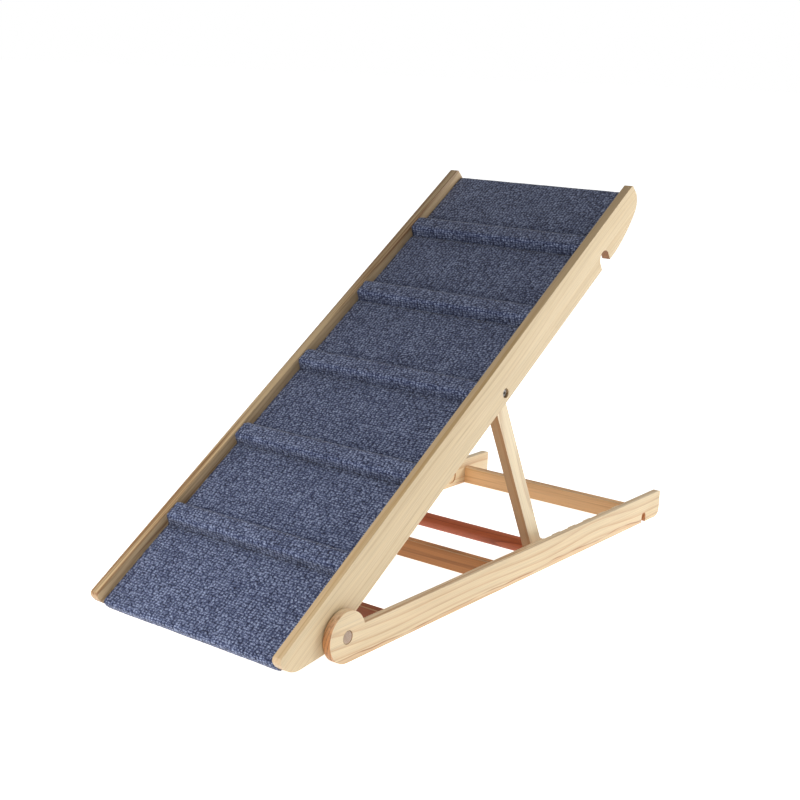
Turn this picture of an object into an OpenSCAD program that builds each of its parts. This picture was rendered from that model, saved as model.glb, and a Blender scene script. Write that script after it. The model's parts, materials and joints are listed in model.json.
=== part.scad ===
// Folding pet ramp. A carpeted deck between two side rails is hinged at its low end
// to a flat base frame, and a swinging prop frame holds its high end up.
// X runs across the ramp, Y from the low end to the high end, Z up from the floor.
// The origin is on the floor, under the middle of the open ramp.

/* [Ramp] */
// Angle of the open ramp above the floor
slope = 33.93; // [30:0.01:34]
// Width over the outer faces of the ramp's side rails
ramp_w = 362.8; // [340:0.1:420]
// Thickness of a ramp side rail
rail_t = 14.4; // [13:0.1:18]
// Reach of the rail's nose below the pivot, along the slope
rail_nose = 99.5; // [95:0.1:105]
// Reach of the rail's tip above the pivot, along the slope
rail_tip = 914; // [900:1:940]
// Height of the rail's top edge above the pivot axis
rail_top = 65.4; // [64:0.1:68]
// Height of the rail's underside above the pivot axis
rail_under = 1.8; // [1:0.1:3]

/* [Deck] */
// Thickness of the deck board
deck_t = 9; // [6:0.5:10]
// Height of the deck board's upper face above the pivot axis
deck_top = 46; // [45:0.5:48]
// Thickness of the carpet
carpet_t = 4; // [3:0.5:5]
// Distance from the pivot to the middle of the lowest batten
batten_first = 75; // [60:1:90]
// Distance from one batten to the next
batten_step = 172; // [160:1:180]
// Width of a batten
batten_w = 24; // [18:1:26]
// Height of a batten
batten_h = 14.5; // [10:0.5:15]

/* [Base frame] */
// Length of a base rail beyond the pivot
base_end = 888; // [870:1:920]
// Height of a base rail
base_h = 47; // [44:0.5:50]
// Thickness of a base rail
base_t = 12.4; // [11:0.1:16]
// Gap between a ramp rail and the base rail beside it
nest_gap = 1.9; // [1:0.1:4]
// Radius of a base rail's round head, which is also the height of the pivot axis
head_r = 36.7; // [36:0.1:38]
// Height of the three cross bars
bar_h = 32; // [30:1:36]
// Thickness of the three cross bars
bar_t = 14; // [12:1:16]

/* [Prop] */
// Distance along the ramp from the pivot to the prop's hinge bolts
hinge_u = 461.5; // [455:0.5:465]
// Distance from the hinge bolts to the foot bar
prop_len = 322; // [320:0.5:324]
// Width of a prop leg
leg_w = 27; // [22:1:28]
// Thickness of a prop leg
leg_t = 18; // [14:1:20]
// Radius of a leg's round foot
foot_r = 20; // [18:0.5:20]
// Radius of the foot bar
foot_bar_r = 12.5; // [10:0.5:12.5]

/* [Hidden] */
$fn = 48;

// Clearances: a glued or driven fit, a turning fit, and the gap between moving faces
tight = 0.02;
running = 0.08;
gap = 0.3;

// Faces across the ramp, measured from its middle
ramp_out = ramp_w / 2;
ramp_in = ramp_out - rail_t;
base_in = ramp_out + nest_gap;
base_out = base_in + base_t;
leg_out = ramp_in - 1.1;
leg_in = leg_out - leg_t;

// Curves of the ramp rail's outline
nose_r = 36.7;
nose_corner_r = 7;
foot_cut = 26.7;
ear_r = 26;
taper_r = 194;
taper_start = rail_tip - 102;
tip_r = 26;
tip_corner_r = 4;

// Deck, its foothold battens, the carpet and the groove that holds the deck
battens = 5;
groove = 5;
deck_under = deck_top - deck_t;
deck_low = carpet_t + 1.5 - rail_nose;
deck_high = rail_tip - carpet_t - 0.5;
carpet_low = deck_low - carpet_t;
carpet_high = deck_high + carpet_t;
carpet_w = 2 * ramp_in - 0.8;
carpet_tuck = 24;
ridge_lean = 2.5;

// Pivot dowels
pivot_z = head_r;
dowel_r = 9;

// Cross bars, from the pivot to each bar's near face, and the dowels in their ends
bar_near = 109;
bar_middle = 386;
bar_far = 808;
bars = [bar_near, bar_middle, bar_far];
peg_r = 4;
peg_in_rail = 8;
peg_in_bar = 22;
peg_heights = [9, 23];

// Foot bar's seats in the base rails: one for each height of the ramp
seats = 6;
seat_step = 49;
seat_depth = 1.8;
seat_r = foot_bar_r + 1;

// Base rail's far end and the strap slot near it
end_r = 14;
end_corner_r = 3;
slot_y = 830;
slot_w = 14;
slot_top = 18;

// Hinge bolts of the prop
hinge_v = 15.6;
bolt_r = 3;
bolt_head_r = 7;
bolt_head_t = 4;
head_recess_r = 7.5;
head_recess = 7;
washer_r = 8;
washer_t = 1.2;
nut_r = 5.77;
nut_t = 5;

// Notch in the ramp rail that takes the foot bar when the ramp is folded
notch_u = hinge_u + prop_len + 0.5;
notch_v = 13.4;
notch_r = foot_bar_r + 1.3;

// Batten screws
screws_across = 3;
screw_r = 1.75;
screw_head_r = 4;
screw_head_t = 2.3;
screw_len = 17;

// The pivot's place along Y puts the origin under the middle of the open ramp
nose_corner = [nose_corner_r - rail_nose, rail_top - nose_corner_r];
nose_y = nose_corner * [cos(slope), -sin(slope)] - nose_corner_r;
pivot_y = -(base_end + nose_y) / 2;

// The prop's hinge and foot in the open position
hinge_y = pivot_y + hinge_u * cos(slope) - hinge_v * sin(slope);
hinge_z = pivot_z + hinge_u * sin(slope) + hinge_v * cos(slope);
foot_z = foot_r + 0.2;
prop_angle = -asin((hinge_z - foot_z) / prop_len);
foot_y = hinge_y + prop_len * cos(prop_angle) - pivot_y;

// Points of an arc from angle a0 to angle a1
function arc(c, r, a0, a1, n) =
    [for (i = [0:n]) c + r * [cos(a0 + (a1 - a0) * i / n), sin(a0 + (a1 - a0) * i / n)]];

// Frames: the base's own, the ramp's with Y up the slope, the prop's with Y down the leg
module in_base() translate([0, pivot_y, 0]) children();
module on_ramp() translate([0, pivot_y, pivot_z]) rotate([slope, 0, 0]) children();
module on_prop() translate([0, hinge_y, hinge_z]) rotate([prop_angle, 0, 0]) children();

// A board standing on edge: its outline is drawn in Y and Z and it is t thick from x
module board(x, t) translate([x, 0, 0]) rotate([90, 0, 90]) linear_extrude(t) children();

// A round bar along X
module rod(x, len, r, y, z) translate([x, y, z]) rotate([0, 90, 0]) cylinder(h = len, r = r);

// A box along X, given by its near corner
module block(x, y, z, size) translate([x, y, z]) cube(size);

module both_sides() {
    children();
    mirror([1, 0, 0]) children();
}

// ---- Base frame ----

module base_outline() {
    head_meet = asin((base_h - pivot_z) / head_r);
    polygon(concat(
        arc([0, pivot_z], head_r, head_meet, 270, 36),
        arc([base_end - end_r, end_r], end_r, 270, 360, 8),
        arc([base_end - end_corner_r, base_h - end_corner_r], end_corner_r, 0, 90, 4)
    ));
}

module seat(y) {
    rod(base_in - 1, seat_depth + 1, seat_r, y, foot_z);
    block(base_in - 1, y - seat_r, foot_z, [seat_depth + 1, 2 * seat_r, base_h]);
}

module strap_slot() {
    rod(base_in - 1, base_t + 2, slot_w / 2, slot_y, slot_top - slot_w / 2);
    block(base_in - 1, slot_y - slot_w / 2, -1, [base_t + 2, slot_w, slot_top - slot_w / 2 + 1]);
}

module base_rail() {
    difference() {
        board(base_in, base_t) base_outline();
        rod(base_in - 1, base_t + 2, dowel_r + tight, 0, pivot_z);
        for (i = [0:seats - 1]) seat(foot_y + i * seat_step);
        for (y = bars, z = peg_heights)
            rod(base_in - 1, peg_in_rail + 1, peg_r + tight, y + bar_t / 2, z);
        strap_slot();
    }
}

module base_rail_right() color("burlywood") in_base() base_rail();
module base_rail_left() color("burlywood") in_base() mirror([1, 0, 0]) base_rail();

module base_bar(y) {
    in_base() difference() {
        block(-base_in, y, 0, [2 * base_in, bar_t, bar_h]);
        both_sides() for (z = peg_heights)
            rod(base_in - peg_in_bar, peg_in_bar + 1, peg_r + tight, y + bar_t / 2, z);
    }
}

module base_bar_near() color("peru") base_bar(bar_near);
module base_bar_middle() color("peru") base_bar(bar_middle);
module base_bar_far() color("peru") base_bar(bar_far);

module base_dowels() {
    color("tan") in_base() both_sides()
        for (y = bars, z = peg_heights)
            rod(base_in - peg_in_bar, peg_in_bar + peg_in_rail, peg_r, y + bar_t / 2, z);
}

module pivot_dowel() in_base() rod(ramp_in, base_out - ramp_in, dowel_r, 0, pivot_z);
module pivot_dowel_right() color("rosybrown") pivot_dowel();
module pivot_dowel_left() color("rosybrown") mirror([1, 0, 0]) pivot_dowel();

// ---- Ramp ----

module ramp_outline() {
    nose_c = [nose_r - rail_nose, rail_top - nose_r / 4];
    down = [-sin(foot_cut), -cos(foot_cut)];
    taper_turn = asin(83 / taper_r);
    polygon(concat(
        arc(nose_corner, nose_corner_r, 90, 180, 6),
        arc(nose_c, nose_r, 180, 270 - foot_cut, 8),
        [down * (down * nose_c + nose_r)],
        [[ear_r - 2, rail_under]],
        arc([taper_start, rail_under + taper_r], taper_r, 270, 270 + taper_turn, 6),
        arc([rail_tip - tip_r, 45], tip_r, -70, 0, 8),
        arc([rail_tip - 3.6 - tip_corner_r, rail_top - tip_corner_r], tip_corner_r, 10, 90, 4)
    ));
}

module ramp_rail() {
    difference() {
        union() {
            board(ramp_in, rail_t) ramp_outline();
            rod(ramp_in, rail_t, ear_r, 0, 0);
        }
        rod(ramp_in - 1, rail_t + 2, dowel_r + running, 0, 0);
        rod(ramp_in - 1, rail_t + 2, bolt_r + tight, hinge_u, hinge_v);
        rod(ramp_out - head_recess, head_recess + 1, head_recess_r, hinge_u, hinge_v);
        rod(ramp_in - 1, rail_t + 2, notch_r, notch_u, notch_v);
        block(ramp_in - 1, notch_u - notch_r, -1, [rail_t + 2, 2 * notch_r, notch_v + 1]);
        block(ramp_in - 1, deck_low, deck_under, [groove + 1, deck_high - deck_low, deck_t]);
    }
}

module ramp_rail_right() color("wheat") on_ramp() ramp_rail();
module ramp_rail_left() color("wheat") on_ramp() mirror([1, 0, 0]) ramp_rail();

function batten_u(i) = batten_first + i * batten_step;
function screw_x(k) = (k - (screws_across - 1) / 2) * 130;

// A countersunk screw driven upwards, r wider all round when it is used to cut its hole
module screw(r) {
    cylinder(h = screw_head_t, r1 = screw_head_r + r, r2 = screw_r + r);
    cylinder(h = screw_len + r, r = screw_r + r);
}

module each_screw(i) {
    for (k = [0:screws_across - 1]) translate([screw_x(k), batten_u(i), deck_under]) children();
}

module deck_board() {
    half = ramp_in + groove - tight;
    color("tan") on_ramp() difference() {
        block(-half, deck_low, deck_under, [2 * half, deck_high - deck_low, deck_t]);
        for (i = [0:battens - 1]) each_screw(i) screw(tight);
    }
}

module batten(i) {
    half = carpet_w / 2;
    color("tan") on_ramp() difference() {
        block(-half, batten_u(i) - batten_w / 2, deck_top, [2 * half, batten_w, batten_h]);
        each_screw(i) screw(tight);
    }
}

module batten_screws() {
    color("silver") on_ramp() for (i = [0:battens - 1]) each_screw(i) screw(0);
}

// Carpet: one sheet over the deck and the battens, turned under the deck at both ends
module carpet() {
    top = deck_top + carpet_t;
    ridge = top + batten_h;
    half = batten_w / 2;
    crown = half + carpet_t;
    upper = [for (i = [0:battens - 1]) each [
        [batten_u(i) - crown - ridge_lean, top],
        [batten_u(i) - crown, ridge],
        [batten_u(i) + crown, ridge],
        [batten_u(i) + crown + ridge_lean, top]
    ]];
    lower = [for (i = [battens - 1:-1:0]) each [
        [batten_u(i) + half, deck_top],
        [batten_u(i) + half, deck_top + batten_h],
        [batten_u(i) - half, deck_top + batten_h],
        [batten_u(i) - half, deck_top]
    ]];
    turn_high = [
        [carpet_high, top], [carpet_high, deck_under - carpet_t],
        [carpet_high - carpet_tuck, deck_under - carpet_t], [carpet_high - carpet_tuck, deck_under],
        [deck_high, deck_under], [deck_high, deck_top]
    ];
    turn_low = [
        [deck_low, deck_top], [deck_low, deck_under],
        [carpet_low + carpet_tuck, deck_under], [carpet_low + carpet_tuck, deck_under - carpet_t],
        [carpet_low, deck_under - carpet_t], [carpet_low, top]
    ];
    color("slateblue") on_ramp() board(-carpet_w / 2, carpet_w)
        polygon(concat(upper, turn_high, lower, turn_low));
}

// ---- Prop ----

module prop_leg() {
    difference() {
        union() {
            block(leg_in, 0, -leg_w / 2, [leg_t, prop_len, leg_w]);
            rod(leg_in, leg_t, leg_w / 2, 0, 0);
            rod(leg_in, leg_t, foot_r, prop_len, 0);
        }
        rod(leg_in - 1, leg_t + 2, bolt_r + running, 0, 0);
        rod(leg_in - 1, leg_t + 2, foot_bar_r + tight, prop_len, 0);
    }
}

module prop_leg_right() color("moccasin") on_prop() prop_leg();
module prop_leg_left() color("moccasin") on_prop() mirror([1, 0, 0]) prop_leg();

module foot_bar() {
    half = base_in - gap - 0.1;
    color("sienna") on_prop() rod(-half, 2 * half, foot_bar_r, prop_len, 0);
}

// Hinge bolt with a hexagon socket: it is fixed in the ramp rail and the leg turns on it
module prop_bolt() {
    head_out = ramp_out - head_recess + bolt_head_t;
    tip = leg_in - gap - washer_t - nut_t - 1.5;
    on_ramp() difference() {
        union() {
            rod(head_out - bolt_head_t, bolt_head_t, bolt_head_r, hinge_u, hinge_v);
            rod(tip, head_out - tip - 1, bolt_r, hinge_u, hinge_v);
        }
        translate([head_out - 2.5, hinge_u, hinge_v]) rotate([0, 90, 0]) cylinder(h = 3, r = 2.3, $fn = 6);
    }
}

module prop_bolt_right() color("silver") prop_bolt();
module prop_bolt_left() color("silver") mirror([1, 0, 0]) prop_bolt();

module prop_washers() {
    color("silver") on_ramp() both_sides() difference() {
        rod(leg_in - gap - washer_t, washer_t, washer_r, hinge_u, hinge_v);
        rod(leg_in - gap - washer_t - 1, washer_t + 2, bolt_r + tight, hinge_u, hinge_v);
    }
}

module prop_nuts() {
    x = leg_in - gap - washer_t - nut_t;
    color("silver") on_ramp() both_sides() difference() {
        translate([x, hinge_u, hinge_v]) rotate([0, 90, 0]) cylinder(h = nut_t, r = nut_r, $fn = 6);
        rod(x - 1, nut_t + 2, bolt_r + tight, hinge_u, hinge_v);
    }
}

base_rail_left();
base_rail_right();
base_bar_near();
base_bar_middle();
base_bar_far();
base_dowels();
pivot_dowel_left();
pivot_dowel_right();
ramp_rail_left();
ramp_rail_right();
deck_board();
for (i = [0:battens - 1])
    batten(i);
batten_screws();
carpet();
prop_bolt_left();
prop_bolt_right();
prop_washers();
prop_nuts();
prop_leg_left();
prop_leg_right();
foot_bar();
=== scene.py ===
# Looks of the folding pet ramp: pine boards, a loop-pile carpet and the steel hinge bolts.
import json
from math import atan2, cos, exp, radians, sin, tan

import bpy
from mathutils import Matrix, Vector, noise as field


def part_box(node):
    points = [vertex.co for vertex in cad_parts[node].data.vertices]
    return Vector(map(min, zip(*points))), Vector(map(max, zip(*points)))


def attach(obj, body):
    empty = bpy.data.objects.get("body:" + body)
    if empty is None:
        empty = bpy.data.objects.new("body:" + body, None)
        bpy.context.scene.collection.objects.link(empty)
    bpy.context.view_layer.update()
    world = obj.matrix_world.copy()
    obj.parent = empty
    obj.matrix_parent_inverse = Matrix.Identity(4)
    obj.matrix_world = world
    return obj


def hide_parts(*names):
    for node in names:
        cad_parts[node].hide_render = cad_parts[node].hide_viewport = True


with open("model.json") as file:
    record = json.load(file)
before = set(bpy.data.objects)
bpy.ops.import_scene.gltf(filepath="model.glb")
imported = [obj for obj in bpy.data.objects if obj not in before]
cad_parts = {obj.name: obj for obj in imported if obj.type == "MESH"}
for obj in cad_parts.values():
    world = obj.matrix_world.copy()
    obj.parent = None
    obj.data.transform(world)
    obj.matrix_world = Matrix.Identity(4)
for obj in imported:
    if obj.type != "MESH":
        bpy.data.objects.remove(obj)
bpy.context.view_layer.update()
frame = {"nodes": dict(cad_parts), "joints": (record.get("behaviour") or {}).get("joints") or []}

# ---------------------------------------------------------------- camera
# A camera at table height, off the ramp's low right corner. It looks down a little,
# so that the ramp runs up from the lower left of the view.
CAMERA_PLACE = (1.2781, -1.7125, 0.7607)
CAMERA_TURN = radians(36.14)
CAMERA_DOWN = radians(16.02)
CAMERA_ROLL = radians(2.33)
CAMERA_LENS = 62.46
CAMERA_SHIFT = (-0.0297, 0.0897)

bpy.ops.object.camera_add(location=CAMERA_PLACE)
camera = bpy.context.object
camera.name = "camera"
camera.data.lens = CAMERA_LENS
camera.data.shift_x, camera.data.shift_y = CAMERA_SHIFT
camera.rotation_mode = "QUATERNION"
camera.rotation_quaternion = (
    Matrix.Rotation(CAMERA_TURN, 3, "Z")
    @ Matrix.Rotation(radians(90) - CAMERA_DOWN, 3, "X")
    @ Matrix.Rotation(CAMERA_ROLL, 3, "Z")
).to_quaternion()
bpy.context.scene.camera = camera

# ---------------------------------------------------------------- studio
# A white floor that runs out of sight under an even white surround. A large soft key
# light stands on the right, a small one low in front, and a weak one hangs overhead.
FLOOR_SIZE = 400
FLOOR_PAINT = (0.92, 0.92, 0.92, 1)
FLOOR_GLOW = 0.55
FLOOR_WHITE = 0.40
SURROUND_LIGHT = 0.245
WHITE = (1, 1, 1, 1)


def make_floor_paint():
    """Matt white paint that glows a little, and more where the camera sees it directly."""
    material = bpy.data.materials.new("floor_paint")
    material.use_nodes = True
    tree = material.node_tree
    shader = tree.nodes["Principled BSDF"]
    shader.inputs["Base Color"].default_value = FLOOR_PAINT
    shader.inputs["Roughness"].default_value = 0.9
    shader.inputs["Specular IOR Level"].default_value = 0.0
    shader.inputs["Emission Color"].default_value = WHITE
    rays = tree.nodes.new("ShaderNodeLightPath")
    glow = tree.nodes.new("ShaderNodeMath")
    glow.operation = "MULTIPLY_ADD"
    glow.inputs[1].default_value = FLOOR_WHITE
    glow.inputs[2].default_value = FLOOR_GLOW
    tree.links.new(rays.outputs["Is Camera Ray"], glow.inputs[0])
    tree.links.new(glow.outputs[0], shader.inputs["Emission Strength"])
    return material


def make_surround():
    """A world that lights the ramp dimly and shows pure white behind it."""
    world = bpy.data.worlds.new("white_surround")
    world.use_nodes = True
    tree = world.node_tree
    light = tree.nodes["Background"]
    light.inputs["Color"].default_value = WHITE
    light.inputs["Strength"].default_value = SURROUND_LIGHT
    backdrop = tree.nodes.new("ShaderNodeBackground")
    backdrop.inputs["Color"].default_value = WHITE
    backdrop.inputs["Strength"].default_value = 1.0
    rays = tree.nodes.new("ShaderNodeLightPath")
    pick = tree.nodes.new("ShaderNodeMixShader")
    tree.links.new(rays.outputs["Is Camera Ray"], pick.inputs[0])
    tree.links.new(light.outputs[0], pick.inputs[1])
    tree.links.new(backdrop.outputs[0], pick.inputs[2])
    tree.links.new(pick.outputs[0], tree.nodes["World Output"].inputs["Surface"])
    return world


def softbox(name, place, aim, size, power):
    """A round area light at place that faces aim: size in metres, power in watts."""
    bpy.ops.object.light_add(type="AREA", location=place)
    lamp = bpy.context.object
    lamp.name = name
    lamp.data.shape = "DISK"
    lamp.data.size = size
    lamp.data.energy = power
    lamp.rotation_mode = "QUATERNION"
    lamp.rotation_quaternion = (Vector(aim) - Vector(place)).to_track_quat("-Z", "Y")


bpy.context.scene.view_settings.view_transform = "Standard"
bpy.ops.mesh.primitive_plane_add(size=FLOOR_SIZE)
floor = bpy.context.object
floor.name = "studio_floor"
floor.data.materials.append(make_floor_paint())
softbox("key_light", place=(2.3, 2.4, 1.9), aim=(0, 0.2, 0.3), size=1.6, power=70)
softbox("front_light", place=(-0.15, -1.15, 0.5), aim=(0, -0.4, 0.1), size=0.7, power=6.5)
softbox("top_light", place=(0.0, 0.2, 3.6), aim=(0, 0, 0.2), size=2.4, power=4)
bpy.context.scene.world = make_surround()

# ---------------------------------------------------------------- base rails
# Two long pine boards on edge, planed and eased on a router, each with a round head
# that carries the pivot. Shallow seats for the foot bar are cut in their inner faces.
PINE_LIGHT = (0.86, 0.69, 0.445)
PINE_LINE = (0.58, 0.30, 0.11)
END_PINE = (0.66, 0.27, 0.085)
END_LINE = (0.24, 0.07, 0.03)
# painted light: the base rails' top and bottom faces are painted paler than their sides
TOP_EDGE_PAINTED_LIGHT = (0.93, 0.76, 0.52)
RUBBED_PINE = (0.86, 0.74, 0.54)
RESIN_LINE = (0.44, 0.17, 0.06)
HEARTWOOD = (0.80, 0.42, 0.17)
RESIN_HEIGHT = 0.0065
RESIN_WANDER = 0.016
RING_SWAY = 0.030
RING_TREMBLE = 0.0016
RAIL_HEIGHT = 0.047
RAIL_EASE = 0.0012
END_ROUND = 0.014
END_TOP_ROUND = 0.003
DOWEL_GAP = 0.0008
SEATS = 6
SEAT_STEP = 0.049
SEAT_DEPTH = 0.0018
SEAT_GAP = 0.001
SLOT_BACK = 0.058       # from the rail's far end to the middle of its slot
SLOT_HALF = 0.007       # half of the slot's width, and the radius of its top
SLOT_HEIGHT = 0.018
PAST = 0.01             # how far a cutter runs past the wood
TOUCHING = 1e-4
FLAT = 0.97             # a face squarer than this to an axis isn't an arris
LEANING = 0.08          # and nor is one that leans less than this

base_low, base_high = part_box("base_rail_right")
base_in, base_out = base_low.x, base_high.x
dowel_low, dowel_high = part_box("pivot_dowel_right")
pivot = (dowel_low + dowel_high) / 2
dowel_r = (dowel_high.z - dowel_low.z) / 2
foot_low, foot_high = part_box("foot_bar")
foot = (foot_low + foot_high) / 2
foot_bar_r = (foot_high.z - foot_low.z) / 2


def deselect():
    """Clears the selection, because an operator acts on all that is selected."""
    bpy.ops.object.select_all(action="DESELECT")


def box_between(name, low, high):
    """A box from its lowest to its highest corner, with its place in its mesh."""
    deselect()
    low, high = Vector(low), Vector(high)
    bpy.ops.mesh.primitive_cube_add(size=1, location=(low + high) / 2)
    piece = bpy.context.object
    piece.name = name
    piece.scale = high - low
    bpy.ops.object.transform_apply(location=True, rotation=True, scale=True)
    return piece


def bar_along_x(name, x0, x1, radius, y, z, sides=64):
    """A round bar along X, with its place in its mesh."""
    deselect()
    bpy.ops.mesh.primitive_cylinder_add(
        vertices=sides, radius=radius, depth=x1 - x0,
        location=((x0 + x1) / 2, y, z), rotation=(0, radians(90), 0))
    piece = bpy.context.object
    piece.name = name
    bpy.ops.object.transform_apply(location=True, rotation=True, scale=True)
    return piece


def work_on(piece):
    """Makes piece the only selected object and the active one."""
    deselect()
    piece.select_set(True)
    bpy.context.view_layer.objects.active = piece


def round_corner(piece, y, z, reach, steps):
    """Rounds the board's corner that runs through (y, z), parallel to X."""
    work_on(piece)
    for edge in piece.data.edges:
        ends = [piece.data.vertices[i].co for i in edge.vertices]
        edge.select = all(abs(p.y - y) < TOUCHING and abs(p.z - z) < TOUCHING for p in ends)
    for thing in list(piece.data.vertices) + list(piece.data.polygons):
        thing.select = False
    bpy.ops.object.mode_set(mode="EDIT")
    bpy.ops.mesh.select_mode(type="EDGE")
    bpy.ops.mesh.bevel(offset=reach, segments=steps, affect="EDGES", clamp_overlap=False)
    bpy.ops.object.mode_set(mode="OBJECT")


def slice_off(piece, y, z, normal):
    """Saws off what lies beyond the plane through (y, z) on the side of normal, in Y and Z."""
    work_on(piece)
    bpy.ops.object.mode_set(mode="EDIT")
    bpy.ops.mesh.select_all(action="SELECT")
    bpy.ops.mesh.bisect(plane_co=(0, y, z), plane_no=(0, *normal), use_fill=True, clear_outer=True)
    bpy.ops.object.mode_set(mode="OBJECT")


def combine(piece, other, how):
    """Joins other to piece, or cuts it out of piece, and throws other away."""
    work_on(piece)
    step = piece.modifiers.new(how.lower(), "BOOLEAN")
    step.operation = how
    step.solver = "EXACT"
    step.object = other
    bpy.ops.object.modifier_apply(modifier=step.name)
    bpy.data.objects.remove(other)


def drill(piece, x0, x1, radius, y, z, sides=64):
    """Drills a round hole along X from x0 to x1."""
    combine(piece, bar_along_x("drill", x0, x1, radius, y, z, sides), "DIFFERENCE")


def mill(piece, low, high):
    """Cuts the box from low to high out of piece."""
    combine(piece, box_between("cutter", low, high), "DIFFERENCE")


def add_round(piece, x0, x1, radius, y, z, sides=64):
    """Adds a round end, head or ear to piece, from x0 to x1."""
    combine(piece, bar_along_x("round", x0, x1, radius, y, z, sides), "UNION")


def ease(piece, width, steps=3):
    """Rounds over every sharp arris."""
    work_on(piece)
    step = piece.modifiers.new("ease", "BEVEL")
    step.width = width
    step.segments = steps
    step.limit_method = "ANGLE"
    step.angle_limit = radians(35)
    step.harden_normals = False
    bpy.ops.object.modifier_apply(modifier=step.name)


def mirrored(piece, name):
    """The left-hand copy of a right-hand piece, with its own mesh."""
    work_on(piece)
    bpy.ops.object.duplicate()
    copy = bpy.context.object
    copy.name = name
    bpy.ops.transform.mirror(constraint_axis=(True, False, False), center_override=(0, 0, 0))
    bpy.ops.object.transform_apply(location=True, rotation=True, scale=True)
    bpy.ops.object.mode_set(mode="EDIT")
    bpy.ops.mesh.select_all(action="SELECT")
    bpy.ops.mesh.normals_make_consistent(inside=False)
    bpy.ops.object.mode_set(mode="OBJECT")
    return copy


def mark_grain(piece, along, through, start):
    """Stores where each point lies in its board: along, across and through it, from start.

    It marks the faces that show end grain, the board's narrow faces and its arrises too."""
    across = ({0, 1, 2} - {along, through}).pop()
    mesh = piece.data
    grain = mesh.attributes.new("grain", "FLOAT_VECTOR", "POINT")
    for i, vertex in enumerate(mesh.vertices):
        p = vertex.co
        grain.data[i].vector = Vector((p[along], p[across], p[through])) + Vector(start)
    marks = ("end_grain", "narrow_face", "arris")
    for mark in marks:
        mesh.attributes.new(mark, "FLOAT", "FACE")
    end, edge, arris = (mesh.attributes[mark] for mark in marks)
    for i, face in enumerate(mesh.polygons):
        end.data[i].value = abs(face.normal[along])
        edge.data[i].value = abs(face.normal[across])
        flatness = max(abs(face.normal[k]) for k in range(3))
        side = abs(face.normal[through])
        arris.data[i].value = 1.0 if LEANING < side < FLAT and flatness < FLAT else 0.0


def finish_piece(piece, body, material, replaced):
    """Shades a piece smooth, gives it its material, ties it to its body and hides the CAD nodes it
    replaces.
    """
    work_on(piece)
    bpy.ops.object.shade_smooth_by_angle(angle=radians(32))
    piece.data.materials.clear()
    piece.data.materials.append(material)
    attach(piece, body)
    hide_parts(*replaced)


def new_group(name, inputs, outputs):
    """An empty shader node group with its sockets: (name, kind, default) in, (name, kind) out."""
    group = bpy.data.node_groups.new(name, "ShaderNodeTree")
    for label, kind, default in inputs:
        socket = group.interface.new_socket(label, in_out="INPUT", socket_type="NodeSocket" + kind)
        socket.default_value = default
    for label, kind in outputs:
        group.interface.new_socket(label, in_out="OUTPUT", socket_type="NodeSocket" + kind)
    group.nodes.new("NodeGroupInput")
    group.nodes.new("NodeGroupOutput")
    return group


def wire(tree, source, target):
    """Links one socket to another."""
    tree.links.new(source, target)


def calc(tree, operation, a, b=None, clamp=False):
    """A Math node: a and b are sockets or numbers. Gives its output."""
    node = tree.nodes.new("ShaderNodeMath")
    node.operation = operation
    node.use_clamp = clamp
    for socket, value in zip(node.inputs, (a, b)):
        if isinstance(value, bpy.types.NodeSocket):
            wire(tree, value, socket)
        elif value is not None:
            socket.default_value = value
    return node.outputs[0]


def noise(tree, vector, stretch, detail=2.0, rough=0.5):
    """Noise of a vector stretched by a factor on each axis. Gives a value about 0.5."""
    scale = tree.nodes.new("ShaderNodeVectorMath")
    scale.operation = "MULTIPLY"
    wire(tree, vector, scale.inputs[0])
    scale.inputs[1].default_value = stretch
    node = tree.nodes.new("ShaderNodeTexNoise")
    node.inputs["Scale"].default_value = 1.0
    node.inputs["Detail"].default_value = detail
    node.inputs["Roughness"].default_value = rough
    wire(tree, scale.outputs[0], node.inputs["Vector"])
    return node.outputs["Fac"]


def blend_colour(tree, amount, a, b, kind="MIX"):
    """A Mix node for colours: amount, a and b are sockets or values. Gives its output."""
    node = tree.nodes.new("ShaderNodeMix")
    node.data_type = "RGBA"
    node.blend_type = kind
    for socket, value in ((node.inputs[0], amount), (node.inputs[6], a), (node.inputs[7], b)):
        if isinstance(value, bpy.types.NodeSocket):
            wire(tree, value, socket)
        elif isinstance(value, (int, float)):
            socket.default_value = value
        else:
            socket.default_value = (*value, 1)
    return node.outputs[2]


def grey_ramp(tree, value, stops):
    """A colour ramp of greys: stops are (position, level). Gives its output."""
    node = tree.nodes.new("ShaderNodeValToRGB")
    while len(node.color_ramp.elements) < len(stops):
        node.color_ramp.elements.new(0.5)
    for element, (position, level) in zip(node.color_ramp.elements, stops):
        element.position = position
        element.color = (level, level, level, 1)
    wire(tree, value, node.inputs[0])
    return node.outputs[0]


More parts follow.
